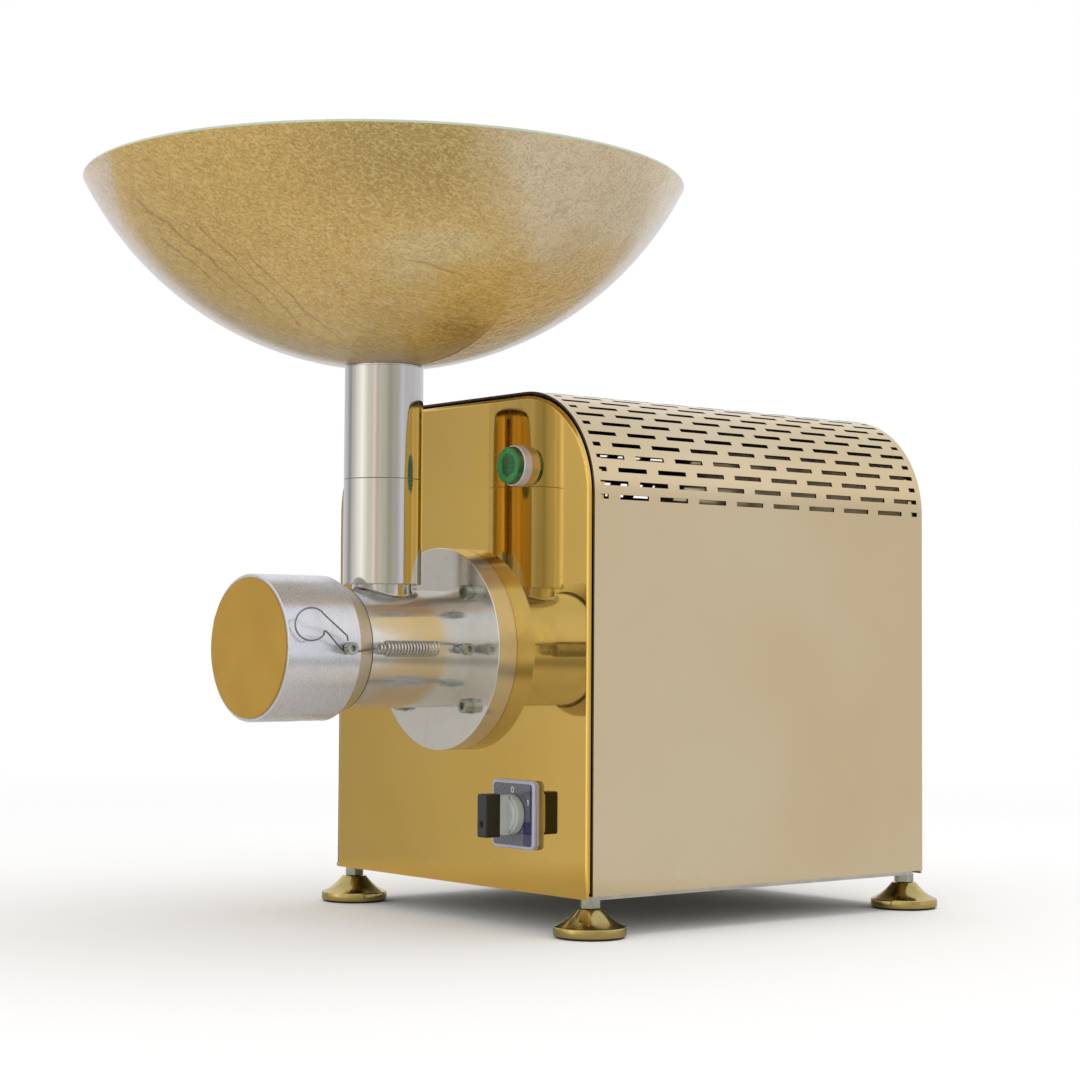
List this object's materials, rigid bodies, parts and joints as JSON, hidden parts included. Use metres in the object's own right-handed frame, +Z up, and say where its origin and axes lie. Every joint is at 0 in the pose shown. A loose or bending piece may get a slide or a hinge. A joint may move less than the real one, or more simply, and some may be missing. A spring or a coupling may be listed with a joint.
{
  "type": "nut butter grinder",
  "caption": "Countertop nut butter grinder: wide feed bowl over a horizontal barrel with a grinding cap, driven by a motor in a mirror-sheet housing on levelling feet.",
  "frame": {"origin": "floor plane under the feet, at the centre of the whole machine's footprint", "axes": "+X to the right seen from the front, +Y from the grinding cap to the rear, +Z up"},
  "size_m": [0.426, 0.632, 0.5253],
  "materials": {
    "gold_mirror": "mirror-polished gold-coloured sheet",
    "champagne_mirror": "mirror-polished champagne-gold sheet",
    "steel_plate": "brushed",
    "dark_steel": "satin black",
    "fastener_steel": "zinc-plated",
    "turned_aluminium": "fine-turned and polished",
    "polished_steel": "polished stainless",
    "leafed_glass": "glass bowl covered with crackled gold leaf",
    "rubber": "matt",
    "label_gold": "satin gold disc",
    "burr_steel": "ground",
    "core_steel": "laminated",
    "copper": "varnished copper wire",
    "motor_grey": "grey enamel",
    "black_plastic": "moulded",
    "spring_steel": "bright wire",
    "green_lens": "translucent green, ribbed",
    "bezel_chrome": "bright",
    "clear_frame": "clear and silver",
    "label_grey": "printed insert",
    "grey_plastic": "moulded",
    "white_plastic": "moulded",
    "capacitor_can": "drawn can"
  },
  "bodies": {
    "housing": {"front_panel": "gold_mirror", "cover": "champagne_mirror", "rear_panel": "champagne_mirror", "base_plate": "steel_plate", "panel_screws": "fastener_steel", "mount_plate": "dark_steel", "foot_nuts": "fastener_steel", "barrel_tube": "turned_aluminium", "barrel_flange": "turned_aluminium", "flange_bolts": "fastener_steel", "feed_neck": "polished_steel", "feed_sleeve": "polished_steel", "stator_burr": "burr_steel", "burr_screws": "fastener_steel", "shaft_seal": "rubber", "stator_core": "core_steel", "stator_windings": "copper", "motor_shell": "motor_grey", "motor_front_shield": "motor_grey", "motor_rear_shield": "motor_grey", "motor_bearings": "polished_steel", "fan_cowl": "motor_grey", "motor_bolts": "fastener_steel", "motor_cradle": "dark_steel", "side_springs": "spring_steel", "spring_posts": "fastener_steel", "lamp_lens": "green_lens", "lamp_bezel": "bezel_chrome", "lamp_nut": "black_plastic", "switch_plate": "clear_frame", "switch_label": "label_grey", "switch_body": "black_plastic", "terminal_block": "white_plastic", "run_capacitor": "capacitor_can", "cable_gland": "black_plastic"},
    "drive": {"auger_screw": "polished_steel", "auger_shaft": "polished_steel", "rotor_burr": "burr_steel", "burr_nut": "fastener_steel", "motor_shaft": "polished_steel", "motor_rotor": "core_steel", "cooling_fan": "black_plastic"},
    "cap": {"grinding_cap": "turned_aluminium", "cap_disc": "label_gold", "cap_screws": "fastener_steel", "pull_wires": "spring_steel"},
    "bowl": {"hopper_tube": "polished_steel", "hopper_bowl": "leafed_glass", "bowl_gasket": "rubber", "bowl_ring_nut": "polished_steel"},
    "switch_knob": {"switch_hub": "grey_plastic", "switch_handle": "black_plastic"},
    "foot_front_left": {"foot_pad_front_left": "gold_mirror", "foot_stud_front_left": "fastener_steel"},
    "foot_front_right": {"foot_pad_front_right": "gold_mirror", "foot_stud_front_right": "fastener_steel"},
    "foot_rear_left": {"foot_pad_rear_left": "gold_mirror", "foot_stud_rear_left": "fastener_steel"},
    "foot_rear_right": {"foot_pad_rear_right": "gold_mirror", "foot_stud_rear_right": "fastener_steel"}
  },
  "joints": [
    {"name": "drive_spin", "type": "hinge", "parent": "housing", "child": "drive", "pos_m": [0, -0.038, 0.1945], "axis": [0, 1, 0], "continuous": true},
    {"name": "cap_pull", "type": "slide", "parent": "housing", "child": "cap", "axis": [0, -1, 0], "range_m": [0, 0.06]},
    {"name": "bowl_lift", "type": "slide", "parent": "housing", "child": "bowl", "axis": [0, 0, 1], "range_m": [0, 0.04]},
    {"name": "switch_turn", "type": "hinge", "parent": "housing", "child": "switch_knob", "pos_m": [0.075, -0.038, 0.0795], "axis": [0, 1, 0], "range_deg": [0, 60]},
    {"name": "foot_front_left_level", "type": "slide", "parent": "housing", "child": "foot_front_left", "axis": [0, 0, -1], "range_m": [0, 0.008]},
    {"name": "foot_front_right_level", "type": "slide", "parent": "housing", "child": "foot_front_right", "axis": [0, 0, -1], "range_m": [0, 0.008]},
    {"name": "foot_rear_left_level", "type": "slide", "parent": "housing", "child": "foot_rear_left", "axis": [0, 0, -1], "range_m": [0, 0.008]},
    {"name": "foot_rear_right_level", "type": "slide", "parent": "housing", "child": "foot_rear_right", "axis": [0, 0, -1], "range_m": [0, 0.008]}
  ]
}
